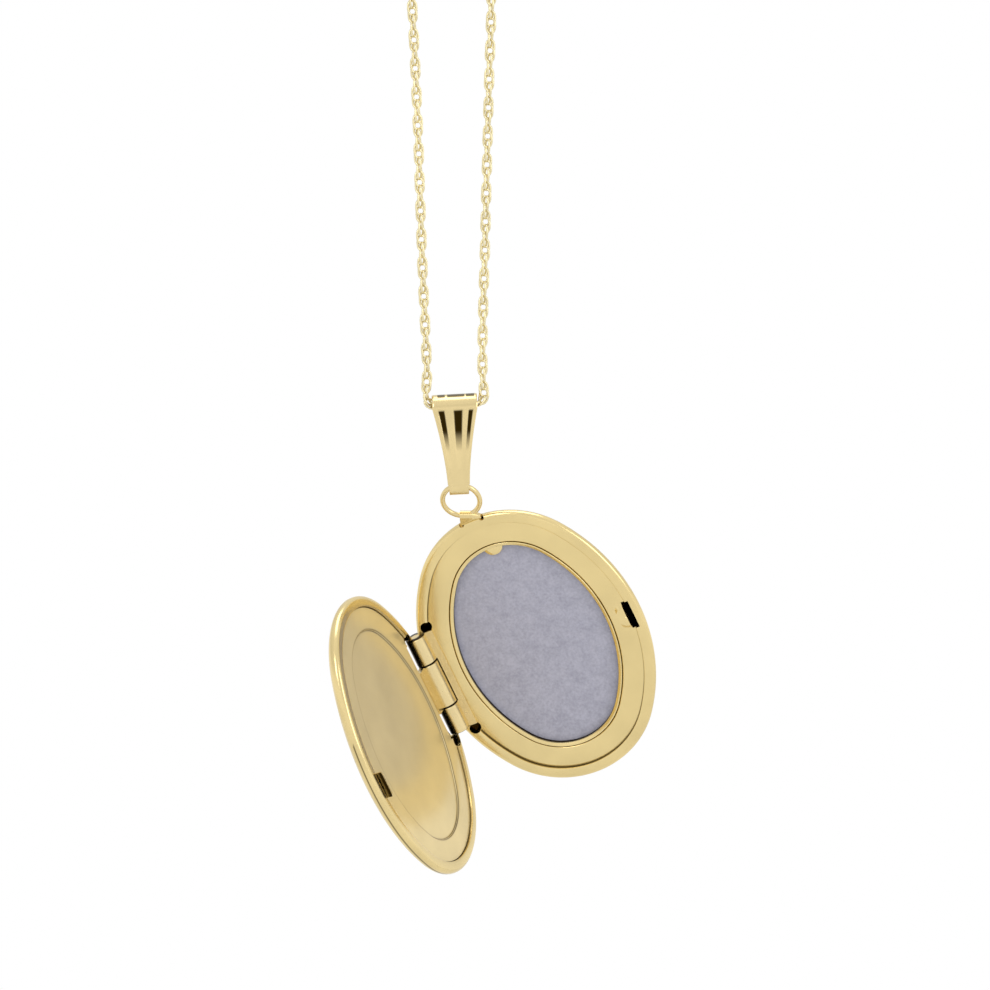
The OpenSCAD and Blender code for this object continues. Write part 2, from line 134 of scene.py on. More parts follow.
def arc(cx, cy, rx, ry, a0, a1, n):
    """Points on an ellipse's arc, as inset and height."""
    return [(cx + rx * math.cos(math.radians(a0 + (a1 - a0) * i / n)),
             cy + ry * math.sin(math.radians(a0 + (a1 - a0) * i / n))) for i in range(n + 1)]


def solid(kind, place, size, segments=48):
    """A cutter: a cylinder along Z (radius, from, to) or a box (low corner, high corner)."""
    bm = bmesh.new()
    if kind == "round":
        r, lo, hi = size
        bmesh.ops.create_cone(bm, cap_ends=True, segments=segments, radius1=r, radius2=r,
                              depth=hi - lo, matrix=Matrix.Translation((0, 0, (lo + hi) / 2)))
    else:
        lo, hi = Vector(size[0]), Vector(size[1])
        bmesh.ops.create_cube(bm, size=1, matrix=Matrix.Translation((lo + hi) / 2)
                              @ Matrix.Diagonal((*(hi - lo), 1)))
    bmesh.ops.transform(bm, matrix=Matrix.Scale(MM, 4) @ place, verts=bm.verts)
    mesh = bpy.data.meshes.new("cutter")
    bm.to_mesh(mesh)
    bm.free()
    obj = bpy.data.objects.new("cutter", mesh)
    bpy.context.collection.objects.link(obj)
    return obj


def drop_islands(mesh):
    """Keeps the largest connected part: what a cut severs from it falls away."""
    bm = bmesh.new()
    bm.from_mesh(mesh)
    left, parts = set(bm.faces), []
    while left:
        part, front = set(), [left.pop()]
        while front:
            face = front.pop()
            part.add(face)
            near = {f for v in face.verts for f in v.link_faces if f in left}
            left -= near
            front.extend(near)
        parts.append(part)
    parts.sort(key=len)
    loose = [f for part in parts[:-1] for f in part]
    bmesh.ops.delete(bm, geom=loose, context="FACES")
    bm.to_mesh(mesh)
    bm.free()


def cut(obj, cutters, smooth):
    """Takes the cutters away from a piece, and then removes them."""
    for c in cutters:
        m = obj.modifiers.new("cut", "BOOLEAN")
        m.operation, m.solver, m.object = "DIFFERENCE", "EXACT", c
    depsgraph = bpy.context.evaluated_depsgraph_get()
    mesh = bpy.data.meshes.new_from_object(obj.evaluated_get(depsgraph))
    drop_islands(mesh)
    obj.modifiers.clear()
    obj.data = mesh
    shade(mesh, smooth)
    for c in cutters:
        bpy.data.objects.remove(c)


def on_hinge(place, r, lo, hi):
    """A round cutter along the hinge line."""
    return solid("round", place @ move(-HINGE_X, 0, 0) @ rot("X", -90), (r, lo, hi), 64)


# ---------- materials ----------

# The colour sockets of a Mix node, and the near-black that painted shade mixes towards.
MIX_A, MIX_B, MIX_OUT = 6, 7, 2
PAINTED_SHADE_BLACK = (0.03, 0.017, 0.002, 1)


def gold(name, colour, rough, grain=1.0, streak=(1, 1, 1), metal=1.0):
    """Polished gold: tone drifts a little, roughness carries hand polish and fine scratches."""
    m = bpy.data.materials.new(name)
    m.use_nodes = True
    t = m.node_tree
    b = t.nodes["Principled BSDF"]
    b.inputs["Metallic"].default_value = metal
    co = t.nodes.new("ShaderNodeTexCoord")
    mp = t.nodes.new("ShaderNodeMapping")
    mp.inputs["Scale"].default_value = streak
    t.links.new(co.outputs["Object"], mp.inputs["Vector"])
    soft = t.nodes.new("ShaderNodeTexNoise")
    soft.inputs["Scale"].default_value = 260
    soft.inputs["Detail"].default_value = 3
    fine = t.nodes.new("ShaderNodeTexNoise")
    fine.inputs["Scale"].default_value = 5200
    fine.inputs["Detail"].default_value = 4
    t.links.new(co.outputs["Object"], soft.inputs["Vector"])
    t.links.new(mp.outputs["Vector"], fine.inputs["Vector"])
    tone = t.nodes.new("ShaderNodeValToRGB")
    tone.color_ramp.elements[0].position = 0.3
    tone.color_ramp.elements[1].position = 0.7
    tone.color_ramp.elements[0].color = (*[c * 0.94 for c in colour], 1)
    tone.color_ramp.elements[1].color = (*[min(c * 1.05, 1) for c in colour], 1)
    t.links.new(soft.outputs["Fac"], tone.inputs["Fac"])
    # The shade attribute mixes painted shade into the gold, from its own tone to near black.
    at = t.nodes.new("ShaderNodeAttribute")
    at.attribute_name = "shade"
    mix = t.nodes.new("ShaderNodeMix")
    mix.data_type = "RGBA"
    t.links.new(at.outputs["Fac"], mix.inputs["Factor"])
    t.links.new(tone.outputs["Color"], mix.inputs[MIX_A])
    mix.inputs[MIX_B].default_value = PAINTED_SHADE_BLACK
    t.links.new(mix.outputs[MIX_OUT], b.inputs["Base Color"])
    ramp = t.nodes.new("ShaderNodeMapRange")
    ramp.inputs["To Min"].default_value = rough * 0.8
    ramp.inputs["To Max"].default_value = rough * 1.25
    t.links.new(fine.outputs["Fac"], ramp.inputs["Value"])
    t.links.new(ramp.outputs["Result"], b.inputs["Roughness"])
    bump = t.nodes.new("ShaderNodeBump")
    bump.inputs["Strength"].default_value = 0.06 * grain
    bump.inputs["Distance"].default_value = 0.00002
    t.links.new(fine.outputs["Fac"], bump.inputs["Height"])
    t.links.new(bump.outputs["Normal"], b.inputs["Normal"])
    return m


def card_stock(name):
    """Matt grey card, mottled like felted paper."""
    m = bpy.data.materials.new(name)
    m.use_nodes = True
    t = m.node_tree
    b = t.nodes["Principled BSDF"]
    b.inputs["Roughness"].default_value = 0.85
    co = t.nodes.new("ShaderNodeTexCoord")
    speck = t.nodes.new("ShaderNodeTexNoise")
    speck.inputs["Scale"].default_value = 4400
    speck.inputs["Detail"].default_value = 5
    speck.inputs["Roughness"].default_value = 0.65
    cloud = t.nodes.new("ShaderNodeTexNoise")
    cloud.inputs["Scale"].default_value = 1100
    cloud.inputs["Detail"].default_value = 3
    for nd in (speck, cloud):
        t.links.new(co.outputs["Object"], nd.inputs["Vector"])
    add = t.nodes.new("ShaderNodeMath")
    add.operation = "MULTIPLY_ADD"
    add.inputs[1].default_value = 0.4
    t.links.new(cloud.outputs["Fac"], add.inputs[0])
    half = t.nodes.new("ShaderNodeMath")
    half.operation = "MULTIPLY"
    half.inputs[1].default_value = 0.6
    t.links.new(speck.outputs["Fac"], half.inputs[0])
    t.links.new(half.outputs[0], add.inputs[2])
    tone = t.nodes.new("ShaderNodeValToRGB")
    tone.color_ramp.elements[0].position = 0.36
    tone.color_ramp.elements[1].position = 0.64
    tone.color_ramp.elements[0].color = (0.33, 0.33, 0.41, 1)
    tone.color_ramp.elements[1].color = (0.44, 0.44, 0.53, 1)
    t.links.new(add.outputs[0], tone.inputs["Fac"])
    t.links.new(tone.outputs["Color"], b.inputs["Base Color"])
    bump = t.nodes.new("ShaderNodeBump")
    bump.inputs["Strength"].default_value = 0.35
    bump.inputs["Distance"].default_value = 0.00003
    t.links.new(speck.outputs["Fac"], bump.inputs["Height"])
    t.links.new(bump.outputs["Normal"], b.inputs["Normal"])
    return m


def plain(name, colour, rough, metal=0.0):
    """One tone that drifts a little."""
    m = bpy.data.materials.new(name)
    m.use_nodes = True
    t = m.node_tree
    b = t.nodes["Principled BSDF"]
    b.inputs["Roughness"].default_value = rough
    b.inputs["Metallic"].default_value = metal
    co = t.nodes.new("ShaderNodeTexCoord")
    noise = t.nodes.new("ShaderNodeTexNoise")
    noise.inputs["Scale"].default_value = 900
    t.links.new(co.outputs["Object"], noise.inputs["Vector"])
    tone = t.nodes.new("ShaderNodeValToRGB")
    tone.color_ramp.elements[0].color = (*[c * 0.85 for c in colour], 1)
    tone.color_ramp.elements[1].color = (*[min(c * 1.1, 1) for c in colour], 1)
    t.links.new(noise.outputs["Fac"], tone.inputs["Fac"])
    t.links.new(tone.outputs["Color"], b.inputs["Base Color"])
    return m


GOLD = (0.82, 0.655, 0.32)
PALE = (0.82, 0.66, 0.34)
shell_gold = gold("shell_gold", GOLD, 0.2)
ring_gold = gold("ring_gold", GOLD, 0.2, streak=(1, 0.15, 1))
lining_gold = gold("lining_gold", (0.79, 0.63, 0.31), 0.22, metal=0.45)
hinge_gold = gold("hinge_gold", (0.82, 0.66, 0.35), 0.25, 1.5)
bail_gold = gold("bail_gold", PALE, 0.2)
chain_gold = gold("chain_gold", (0.86, 0.76, 0.47), 0.25, 1.5)
clasp_gold = gold("clasp_gold", PALE, 0.2)
card_grey = card_stock("card_grey")
spring_steel = plain("spring_steel", (0.55, 0.55, 0.57), 0.3, 1.0)

# ---------- camera ----------

cam = bpy.data.objects.new("camera", bpy.data.cameras.new("camera"))
bpy.context.collection.objects.link(cam)
bpy.context.scene.camera = cam
SENSOR, LENS = 36, 600
cam.data.sensor_width = SENSOR
cam.data.lens = LENS
# The view's width where the locket hangs.
VIEW = 85.64 * MM
cam.location = (3.92 * MM, 3.0 * MM - VIEW / SENSOR * LENS, -64.82 * MM)
cam.rotation_euler = (math.radians(90), 0, 0)
cam.data.clip_start, cam.data.clip_end = 0.05, 50

# ---------- chain ----------

# The route's points, x and z in millimetres, as the CAD tube has them.
ROUTE = [
    (3.60, -21.1), (3.57, -24.0), (3.44, -28.0), (3.31, -33.0), (3.18, -38.0),
    (3.05, -43.5), (2.92, -48.0), (2.84, -52.0), (2.86, -54.6), (2.95, -55.8),
    (2.95, -56.35), (2.70, -56.82), (2.20, -57.0), (0.46, -57.03),
    (-1.28, -57.06), (-1.78, -56.88), (-2.04, -56.4), (-2.04, -55.8),
    (-1.95, -54.6), (-2.03, -52.0),
    (-2.22, -48.0), (-2.40, -43.5), (-2.58, -38.0), (-2.74, -33.0),
    (-2.96, -28.0), (-3.26, -22.0), (-3.56, -16.0), (-3.84, -10.0),
    (-4.02, -5.5), (-4.05, -3.5), (-3.51, -1.48), (-2.03, 0.01), (0, 0.55),
    (2.03, 0.01), (3.51, -1.48), (4.05, -3.5), (4.02, -5.5), (3.95, -8.0),
    (3.90, -10.4),
]


def spline(points):
    """Dense points on a Hermite curve through the route."""
    p = [Vector((x, 0, z)) for x, z in points]
    run = [0.0]
    for a, b in zip(p, p[1:]):
        run.append(run[-1] + (b - a).length)

    def slope(k):
        a, b = max(k - 1, 0), min(k + 1, len(p) - 1)
        return (p[b] - p[a]) / (run[b] - run[a])

    out = []
    for i in range(len(p) - 1):
        h = run[i + 1] - run[i]
        m0, m1 = slope(i) * h, slope(i + 1) * h
        steps = max(4, int(h / 0.1))
        for k in range(steps):
            t = k / steps
            out.append(p[i] * (2 * t ** 3 - 3 * t * t + 1) + m0 * (t ** 3 - 2 * t * t + t)
                       + p[i + 1] * (3 * t * t - 2 * t ** 3) + m1 * (t ** 3 - t * t))
    return out + [p[-1]]


line = spline(ROUTE)
reach = [0.0]
for a, b in zip(line, line[1:]):
    reach.append(reach[-1] + (b - a).length)
LENGTH = reach[-1]


def station(s):
    """Point and direction of the chain's centre line at a length along it."""
    s = min(max(s, 0.0), LENGTH)
    lo, hi = 0, len(reach) - 1
    while hi - lo > 1:
        mid = (lo + hi) // 2
        lo, hi = (mid, hi) if reach[mid] <= s else (lo, mid)
    d = (line[hi] - line[lo]).normalized()
    return line[lo] + d * (s - reach[lo]), d


LINK_LONG, LINK_WIDE, LINK_WIRE = 1.5, 0.98, 0.105
LINK_STEP, LINK_TURN, LINK_START = 0.615, 45.0, 20
# Below 1, it squares a link's ellipse a little.
LINK_ROUND = 0.85


def rope_chain():
    """Soldered oval links, each turned a little from the one before."""
    verts, faces = [], []
    around, sides = 20, 8
    count = int((LENGTH - LINK_LONG) / LINK_STEP) + 1
    gap = (LENGTH - LINK_LONG) / (count - 1)
    hl, hw = LINK_LONG / 2 - LINK_WIRE, LINK_WIDE / 2 - LINK_WIRE
    for k in range(count):
        mid = LINK_LONG / 2 + k * gap
        a = math.radians(LINK_TURN * k + LINK_START)
        base = len(verts)
        for i in range(around):
            t = 2 * math.pi * i / around
            u = math.copysign(abs(math.cos(t)) ** LINK_ROUND, math.cos(t)) * hl
            w = math.copysign(abs(math.sin(t)) ** LINK_ROUND, math.sin(t)) * hw
            p, d = station(mid + u)
            side = Vector((d.z, 0, -d.x))
            wide = math.cos(a) * side + math.sin(a) * Vector((0, 1, 0))
            c = p + wide * w
            out = (d * math.cos(t) * hw + wide * math.sin(t) * hl).normalized()
            deep = d.cross(wide)
            for j in range(sides):
                f = 2 * math.pi * j / sides
                verts.append(c + LINK_WIRE * (math.cos(f) * out + math.sin(f) * deep))
        for i in range(around):
            faces += band(base + i * sides, base + (i + 1) % around * sides, sides)
    mesh = bpy.data.meshes.new("rope_chain")
    mesh.from_pydata([tuple(v * MM) for v in verts], [], faces)
    obj = bpy.data.objects.new("rope_chain", mesh)
    bpy.context.collection.objects.link(obj)
    mesh.materials.append(chain_gold)
    mesh.polygons.foreach_set("use_smooth", [True] * len(mesh.polygons))
    return obj


chain = rope_chain()
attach(chain, "chain")
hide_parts("chain")
path = [station(LENGTH * i / 160)[0] * MM for i in range(161)]
tuple(path[0])
[tuple(p) for p in path]

# ---------- rear half ----------

SHEET, LAND, DEEP, WALL, ROLL_IN = 0.3, 1.0, 2.2, 0.5, 6.8
LIP_R = 0.4
roll_out = [(ROLL_IN * (1 - math.cos(t)), -WALL - (DEEP - WALL) * math.sin(t))
            for t in [math.radians(90 * i / 20) for i in range(21)]]
# The inside carries full painted shade, near black.
roll_inner = [(SHEET + (ROLL_IN - SHEET) * (1 - math.cos(t)),
               -WALL - (DEEP - WALL - SHEET) * math.sin(t), 1.0)
              for t in [math.radians(90 * i / 14) for i in range(15)]]
# Rounded edge, then a land with a faint crown and a broken inner corner; the land's step wall and
# the sheet beneath carry painted shade.
mouth = arc(LIP_R, -LIP_R, -LIP_R, LIP_R, 0, 90, 8)
mouth += [(LIP_R + 0.2, 0.012), (LAND - 0.2, 0.01), (LAND - 0.06, 0.0), (LAND - 0.015, -0.02),
          (LAND, -0.06, 0.3), (LAND, -SHEET, 1.0), (SHEET, -SHEET, 1.0)]
half_levels = roll_out[::-1] + mouth + roll_inner

MID_END, END_START, END_STOP = 2.1, 2.15, 4.75
KNUCKLE_R, CLEAR_R, HINGE_CUT = 0.9, 0.98, 1.6
TAB_X, TAB_WIDE, TAB_IN, TAB_CORNER_R = -0.3, 1.9, 0.2, 0.22
WINDOW = (HALF_WIDE - 1.4, HALF_WIDE - 0.7, -1.7, 0.9)
# Round holes at the hinge's ends. They and the catch's window stop short of the shell's back.
RELIEF_X, RELIEF_Y, RELIEF_R = 1.25, END_STOP + 0.4, 0.5
THROUGH_LOW = -0.6


def reliefs(place):
    size = (RELIEF_R, THROUGH_LOW, 0.66)
    return [solid("round", place @ move(RELIEF_X - HINGE_X, s * RELIEF_Y, 0), size, 40)
            for s in (-1, 1)]


def window(place):
    x0, x1, y0, y1 = WINDOW
    return solid("box", place, ((x0, y0, THROUGH_LOW), (x1, y1, 0.4)))


rear = loft("rear_shell", half_levels, LOCKET, shell_gold, smooth=30)
cutters = [on_hinge(LOCKET, KNUCKLE_R, -END_STOP, END_STOP),
           on_hinge(LOCKET, CLEAR_R, -END_START, END_START),
           solid("box", LOCKET, ((-HINGE_X, -END_STOP, -SHEET - 0.05),
                                 (HINGE_CUT - HINGE_X, END_STOP, 0.7))),
           solid("box", LOCKET, ((TAB_X - TAB_WIDE / 2, HALF_LEN - TAB_IN, -0.7),
                                 (TAB_X + TAB_WIDE / 2, HALF_LEN + 1.8, 0.3))),
           window(LOCKET), *reliefs(LOCKET)]
for s in (-1, 1):
    cutters.append(solid("round", LOCKET @ move(TAB_X + s * TAB_WIDE / 2, HALF_LEN - TAB_IN, 0),
                         (TAB_CORNER_R, -0.7, 0.3), 24))
cut(rear, cutters, 30)
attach(rear, "rear_half")
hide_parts("rear_case")

PLATE_OUT, PAN, WELL_IN, DROP, FLOOR = 0.6, 0.25, 2.9, 0.3, -1.0
FLOOR_IN, HINGE_CORNER_X = 4.3, -8.15


def hinge_shadow(x, y, _z):
    """Painted shade on the ring in the corner beside the knuckles."""
    return 1.0 if x < HINGE_CORNER_X and abs(y) < END_STOP + 0.1 else 0.0


# Painted shade darkens the plate's outer edge, the seam beside the land, the well's wall and the
# plate's underside.
ring_levels = [(PLATE_OUT, -DROP - PAN, 1.0), (PLATE_OUT, -DROP, 1.0), (LAND + 0.01, -DROP, 1.0),
               (LAND + 0.05, -DROP - 0.01, 0.6), (LAND + 0.09, -DROP), (LAND + 0.2, -DROP + 0.012),
               (1.5, -DROP + 0.03), (2.0, -DROP + 0.035), (2.5, -DROP + 0.02)]
ring_levels += arc(WELL_IN - 0.12, -DROP - 0.12, 0.12, 0.12, 90, 10, 4)
ring_levels += [(WELL_IN, -DROP - 0.16, 1.0), (WELL_IN, FLOOR, 1.0), (FLOOR_IN, FLOOR),
                (FLOOR_IN, FLOOR - PAN), (WELL_IN - PAN, FLOOR - PAN),
                (WELL_IN - PAN, -DROP - PAN, 1.0)]
ring = loft("rear_polished_ring", ring_levels, LOCKET, ring_gold, loop=True, smooth=32,
            shade_at=hinge_shadow)
cut(ring, [on_hinge(LOCKET, CLEAR_R, -END_STOP - 0.1, END_STOP + 0.1), window(LOCKET),
           *reliefs(LOCKET)], 32)
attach(ring, "rear_half")
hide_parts("rear_ring")

OUT, LOW = WELL_IN + 0.05, FLOOR + 0.15
BEVEL, FRAME_EDGE = 0.35, 0.38
# Painted shade darkens the frame's inner wall above the card.
bevel_levels = [(OUT, LOW), (OUT, -DROP - 0.05)]
bevel_levels += arc(OUT + 0.05, -DROP - 0.05, -0.05, 0.05, 0, 90, 3)
bevel_levels += [(OUT + 0.1, -DROP), (OUT + 0.13, -DROP - 0.015),
                 (OUT + 0.22, -DROP - 0.05), (OUT + 0.31, -DROP - 0.11),
                 (OUT + BEVEL - 0.01, LOW + FRAME_EDGE - 0.02, 0.4),
                 (OUT + BEVEL, LOW + FRAME_EDGE - 0.05, 1.0), (OUT + BEVEL, LOW, 1.0)]
bevel = loft("photo_bevel", bevel_levels, LOCKET, shell_gold, loop=True, smooth=30)
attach(bevel, "picture_holder")
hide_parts("photo_frame")

# Thumbnail tab: a half-moon that dips towards its rim.
THUMB_X, THUMB_Y, THUMB_R = 0.28, HALF_LEN - OUT - BEVEL + 0.12, 0.86
verts, faces = [], []
fan, rings_n = 28, 6
for k in range(rings_n + 1):
    t = k / rings_n
    for j in range(fan + 1):
        a = math.radians(180 + 180 * j / fan)
        x, y = THUMB_R * t * math.cos(a), THUMB_R * t * math.sin(a)
        z = LOW + 0.25 + 0.05 * (1 - t * t) - (0.06 if k == rings_n else 0)
        verts.append(LOCKET @ Vector((x + THUMB_X, THUMB_Y + y, z)))
for k in range(rings_n):
    a, b = k * (fan + 1), (k + 1) * (fan + 1)
    faces += [(a + j, a + j + 1, b + j + 1, b + j) for j in range(fan)]
base = len(verts)
for j in range(fan + 1):
    a = math.radians(180 + 180 * j / fan)
    x, y = THUMB_R * math.cos(a), THUMB_R * math.sin(a)
    verts.append(LOCKET @ Vector((x + THUMB_X, THUMB_Y + y, LOW + 0.04)))
top = rings_n * (fan + 1)
faces += [(top + j, top + j + 1, base + j + 1, base + j) for j in range(fan)]
tab = build("frame_thumb_tab", verts, faces, shell_gold, 45)
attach(tab, "picture_holder")

# Card: a plate whose cut edge wanders a little and whose face is very slightly crowned.
verts, faces = [], []
CARD_IN = 3.2
n, steps = 240, 14
for k in range(steps + 1):
    t = k / steps
    for j in range(n):
        a = 2 * math.pi * j / n
        x, y = oval(a, CARD_IN)
        wob = 1 + (0.0016 * math.sin(9 * a + 1) + 0.001 * math.sin(23 * a)) * t
        z = FLOOR + 0.15 + 0.05 * (1 - t * t) + 0.012 * math.sin(3 * a + 0.7) * t * t
        verts.append(LOCKET @ Vector((x * t * wob, y * t * wob, z)))
for k in range(1, steps):
    a, b = k * n, (k + 1) * n
    faces += band(a, b, n)
faces += [(0, n + j, n + (j + 1) % n) for j in range(n)]
base = len(verts)
for j in range(n):
    x, y = oval(2 * math.pi * j / n, CARD_IN)
    verts.append(LOCKET @ Vector((x, y, FLOOR + 0.01)))
faces += band(steps * n, base, n)
faces.append(tuple(base + j for j in range(n)))
card = build("grey_card", verts, faces, card_grey, 50)
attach(card, "picture_holder")
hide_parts("picture_card")

# ---------- cover ----------

# NOTCH_IN: how far the rolled edge is cut back beside the hinge.
GAP, NOTCH_IN = 0.05, 1.1
flip = COVER @ move(0, 0, GAP) @ Matrix.Diagonal((1, 1, -1, 1))


def rim_line(x, y, z):
    """Painted shade as a dark line along the rim's outer edge, on the catch side."""
    return 0.9 if abs(z + WALL) < 0.01 and x > 2 and y < 4 else 0.0


cover = loft("cover_shell", half_levels, flip, shell_gold, smooth=30, shade_at=rim_line)
cut(cover, [on_hinge(COVER, KNUCKLE_R, -MID_END, MID_END),
            on_hinge(COVER, CLEAR_R, -END_STOP - 0.1, -MID_END),
            on_hinge(COVER, CLEAR_R, MID_END, END_STOP + 0.1),
            solid("box", COVER, ((-HINGE_X, -END_STOP, -0.5),
                                 (HINGE_CUT - HINGE_X, END_STOP, GAP + SHEET + 0.05))),
            solid("box", COVER, ((-HALF_WIDE - 1, -END_STOP, 0),
                                 (NOTCH_IN - HALF_WIDE, END_STOP, 3))),
            *reliefs(COVER)], 30)
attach(cover, "cover")
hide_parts("front_cover")

# The lining: a broad ring just below the land, a fine step, then the flat panel. Painted shade
# draws dark lines at the fine step and the land's edge, and darkens the sheet's underside.
RING_Z, PANEL_Z, LINING_IN, LEAF, CENTRE_IN = GAP + 0.2, GAP + 0.35, 3.0, 1.9, 8.2
lining_levels = [(CENTRE_IN, PANEL_Z - 0.02)]
lining_levels += [(LINING_IN + 0.45 * k, PANEL_Z - 0.004 * min(k, 5)) for k in range(11, 1, -1)]
lining_levels += [(LINING_IN + 0.25, PANEL_Z), (LINING_IN + 0.13, PANEL_Z, 0.2),
                  (LINING_IN + 0.08, PANEL_Z - 0.02, 0.9), (LINING_IN + 0.05, RING_Z + 0.09, 0.2),
                  (LINING_IN + 0.02, RING_Z + 0.07, 0.2), (LINING_IN, RING_Z + 0.04, 0.9),
                  (LINING_IN - 0.03, RING_Z + 0.01, 0.5), (LINING_IN - 0.12, RING_Z),
                  (2.6, RING_Z - 0.008), (2.0, RING_Z - 0.012), (1.5, RING_Z - 0.008),
                  (LAND + 0.1, RING_Z), (LAND + 0.06, RING_Z, 0.5),
                  (LAND + 0.02, RING_Z + 0.03, 1.0), (LAND + 0.02, GAP + SHEET, 1.0),
                  (PLATE_OUT, GAP + SHEET, 1.0),
                  (PLATE_OUT, GAP + SHEET + PAN, 1.0), (LAND + 0.4, RING_Z + PAN + 0.1, 1.0),
                  (3.5, PANEL_Z + PAN), (CENTRE_IN, PANEL_Z + PAN)]


def beside_knuckle(reach, end):
    """Cutters on both sides of the middle knuckle, to a reach past the hinge line."""
    return [solid("box", COVER, ((-HALF_WIDE, min(s * MID_END, s * end), -1),
                                 (reach - HINGE_X, max(s * MID_END, s * end), 1)))
            for s in (-1, 1)]


lining = loft("cover_panel", lining_levels, COVER, lining_gold, smooth=35)
cut(lining, [on_hinge(COVER, CLEAR_R, -END_STOP - 0.1, END_STOP + 0.1), *reliefs(COVER),
             solid("box", COVER, ((-HALF_WIDE, -MID_END - 0.02, -1),
                                  (LEAF + 0.02 - HINGE_X, MID_END + 0.02, GAP + SHEET))),
             *beside_knuckle(LEAF, END_STOP), *beside_knuckle(RELIEF_X, RELIEF_Y)], 35)
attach(lining, "cover")
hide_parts("cover_lining")

# The catch tab, an extruded profile with a bead, with painted shade darkest along its outer face.
OUT_X, IN_X = HALF_WIDE - 1.1, HALF_WIDE - 1.3
profile = [(IN_X, RING_Z, 0), (IN_X, -0.35, 0), (IN_X + 0.05, -0.45, 0), (OUT_X - 0.03, -0.45, 0.2),
           (OUT_X, -0.43, 1), (OUT_X + 0.06, -0.33, 1), (OUT_X, -0.21, 1), (OUT_X, RING_Z, 0.3)]
CATCH_STEPS, CATCH_WIDE, CATCH_END = 12, 2.4, -0.45
ys = [WINDOW[2] + 0.1 + CATCH_WIDE * k / CATCH_STEPS for k in range(CATCH_STEPS + 1)]
verts, dark, faces = [], [], []
for k, y in enumerate(ys):
    trim = 0.06 if k in (0, CATCH_STEPS) else 0.0
    for x, z, d in profile:
        verts.append(COVER @ Vector((x, y, max(z, CATCH_END + trim))))
        dark.append(d)
m = len(profile)
for k in range(CATCH_STEPS):
    faces += band(k * m, (k + 1) * m, m)
faces += [tuple(range(m)), tuple(CATCH_STEPS * m + j for j in range(m))[::-1]]
catch = build("cover_catch_tab", verts, faces, shell_gold, 30)
darken(catch, dark)
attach(catch, "cover")
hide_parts("cover_catch")

# ---------- hinge ----------

# The painted dark reflection on the flank starts at this angle round the knuckle and is FLANK_WIDE
# degrees wide.
PIN_R, FLANK_FROM, FLANK_WIDE, FLANK_FADE = 0.42, 118, 90, 8


def knuckle(name, place, lo, hi, body, node, dark_from=None):
    """A turned knuckle with broken end corners painted dark as shade and, on the fixed ones, a
    painted dark reflection along a flank.
    """
    ends = [(lo, PIN_R, 1), (lo, KNUCKLE_R - 0.1, 1), (lo + 0.03, 0.86, 1),
            (lo + 0.08, KNUCKLE_R, 0), (hi - 0.08, KNUCKLE_R, 0), (hi - 0.03, 0.86, 1),
            (hi, KNUCKLE_R - 0.1, 1), (hi, PIN_R, 1)]
    around, verts, dark, faces = 96, [], [], []
    mid = place @ move(-HINGE_X, 0, 0)
    for y, r, d in ends:
        for j in range(around):
            a = 360 * j / around
            flank = 0.0
            if dark_from is not None and dark_from <= a <= dark_from + FLANK_WIDE:
                flank = min(1.0, (a - dark_from) / FLANK_FADE)
            t = math.radians(a)
            verts.append(mid @ Vector((r * math.cos(t), y, r * math.sin(t))))
            dark.append(max(d, flank))
    for k in range(len(ends)):
        faces += band(k * around, (k + 1) % len(ends) * around, around)
    obj = build(name, verts, faces, hinge_gold, 35)
    darken(obj, dark)
    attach(obj, body)
    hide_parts(node)


knuckle("hinge_knuckle_upper", LOCKET, END_START, END_STOP, "rear_half", "rear_knuckle_upper",
        FLANK_FROM)
knuckle("hinge_knuckle_lower", LOCKET, -END_STOP, -END_START, "rear_half", "rear_knuckle_lower",
        FLANK_FROM)
knuckle("hinge_knuckle_middle", COVER, -MID_END, MID_END, "cover", "cover_knuckle")

# ---------- bail ----------

BAIL = move(0.46, 0, -57.35) @ rot("Y", -3)
TUNNEL_R, FOLD_R, BAIL_SHEET, FOLD_HALF = 0.97, 0.5, 0.28, 0.85
BAIL_TOP, BAIL_FOOT, WAIST, BAIL_LONG = 3.9, 1.9, 1.55, 8.7
FOLD_Z = 2 * BAIL_SHEET + FOLD_R + TUNNEL_R - BAIL_LONG
SLOPE = math.asin((TUNNEL_R - FOLD_R) / -FOLD_Z)


def bail_half(z):
    """Half the strap's width at a height."""
    if z < FOLD_Z - 0.02:
        return FOLD_HALF
    t = min(max(z / FOLD_Z, 0), 1)
    return (BAIL_FOOT + (BAIL_TOP - BAIL_FOOT) * (1 - t) ** WAIST) / 2


# Flutes: centre across the width, half width, both from -1 to 1.
FLUTES = [(-0.62, 0.17), (0.14, 0.25), (0.72, 0.13)]
FLUTE_DEEP, FLUTE_RUN, CROWN_FADE = 0.14, 5.2, 0.4


def flute(u, z):
    """How deep the flutes are: none over the crown, and none at the foot."""
    fade = min(max(1 + z / FLUTE_RUN, 0), 1)
    deep = sum(max(0, 1 - ((u - c) / w) ** 2) * (w / 0.25) for c, w in FLUTES)
    crown = min(max(-z / CROWN_FADE, 0), 1)
    return FLUTE_DEEP * deep * fade * (2 - fade) * crown


# Three short stretches along the crown carry painted dark reflection: from and to, across the
# width.
CROWN_LINES = [(-0.76, -0.4), (-0.31, 0.44), (0.5, 0.89)]
CROWN_Z = 0.77


def bail_shade(u, z, front):
    """How much painted dark reflection a flute carries: deepest below the crown, gone before the
    foot; the crown's stretches too.
    """
    if front and z > CROWN_Z:
        return 0.85 if any(a < u < b for a, b in CROWN_LINES) else 0.0
    if not front or z > -0.15:
        return 0.0
    fade = min(max((-z - 0.15) / 0.08, 0), 1) * min(max((3.7 + z) / 1.7, 0), 1)
    return fade * max(min(max(0.0, 1 - abs(u - c) / (w * 0.92)) * 4, 1) for c, w in FLUTES)


